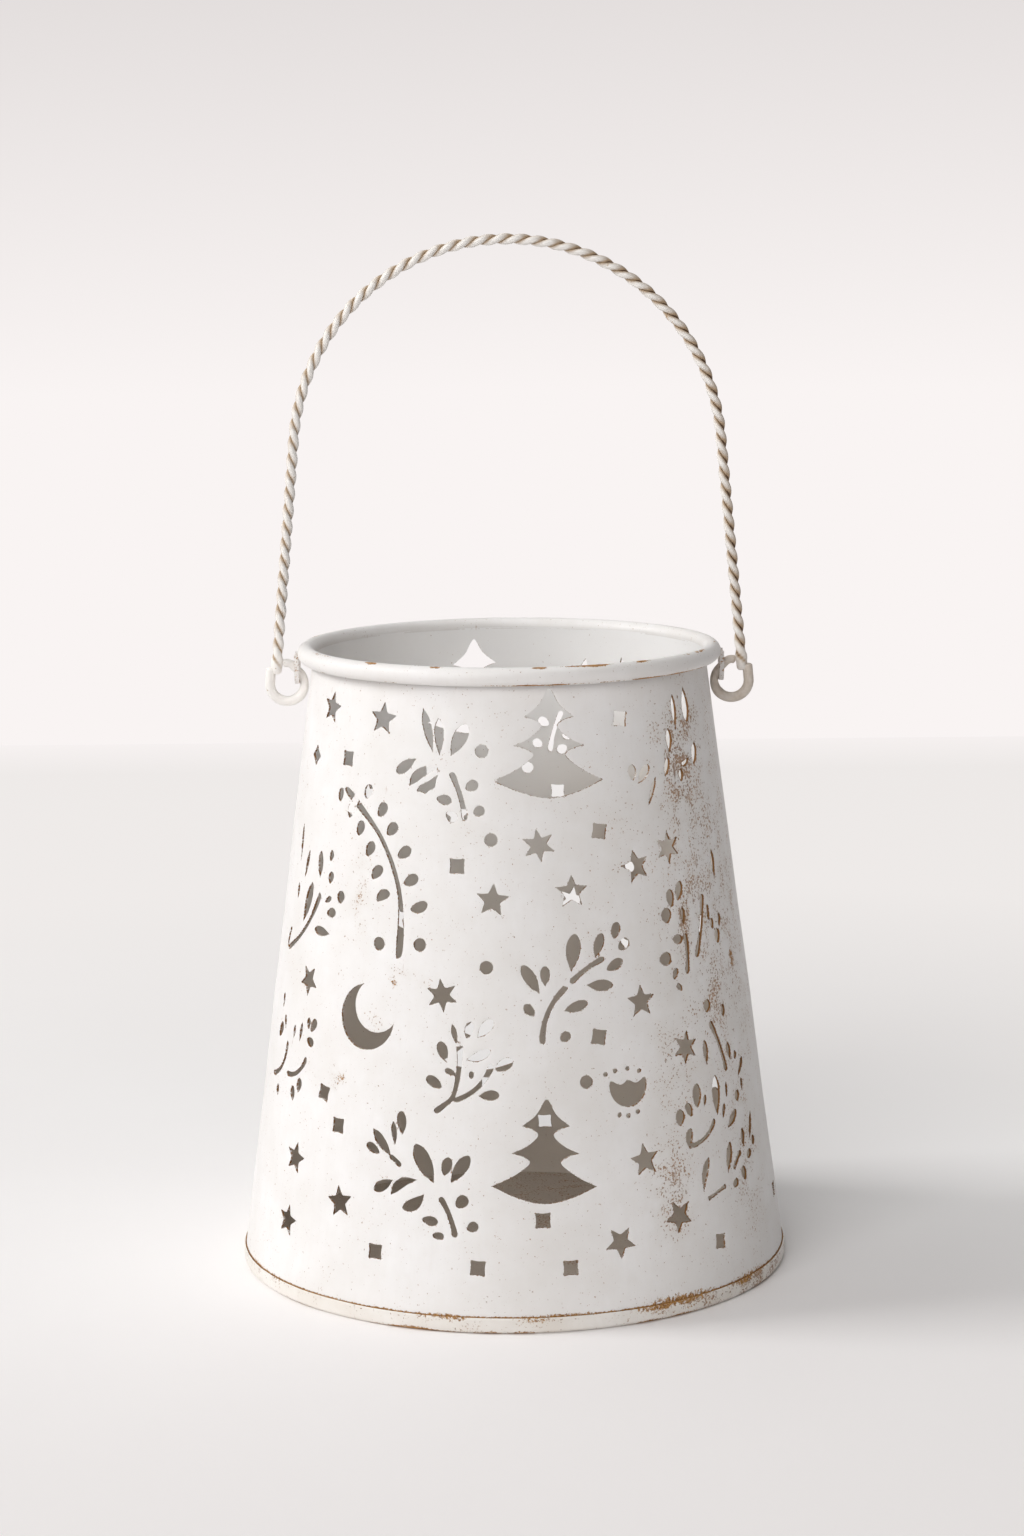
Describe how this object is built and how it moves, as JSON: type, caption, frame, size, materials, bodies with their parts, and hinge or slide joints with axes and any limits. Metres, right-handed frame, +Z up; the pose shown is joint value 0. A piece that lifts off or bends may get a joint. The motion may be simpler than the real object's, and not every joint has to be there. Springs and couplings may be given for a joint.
{
  "type": "punched tin lantern",
  "caption": "Tapered candle lantern of punched tin with a rolled rim, a crimped base pan and a twisted wire bail that swings on ears under the rim.",
  "frame": {"origin": "centre of the base pan's underside", "axes": "+Z up along the lantern's axis, -Y towards the front of the punched picture, X through the two ears"},
  "size_m": [0.1198, 0.1198, 0.2235],
  "materials": {
    "painted_tin": "worn matt paint",
    "painted_pan": "worn matt paint with a rusted lip",
    "painted_wire": "worn matt paint on wire"
  },
  "bodies": {
    "lantern": {"punched_body": "painted_tin", "base_pan": "painted_pan", "ear_left": "painted_tin", "ear_right": "painted_tin"},
    "bail": {"bail_strand_a": "painted_wire", "bail_strand_b": "painted_wire", "ferrule_left": "painted_wire", "ferrule_right": "painted_wire", "bail_eye_left": "painted_wire", "bail_eye_right": "painted_wire"}
  },
  "joints": [
    {"name": "bail_swing", "type": "hinge", "parent": "lantern", "child": "bail", "pos_m": [0, 0, 0.1302], "axis": [1, 0, 0], "range_deg": [-100, 100]}
  ]
}
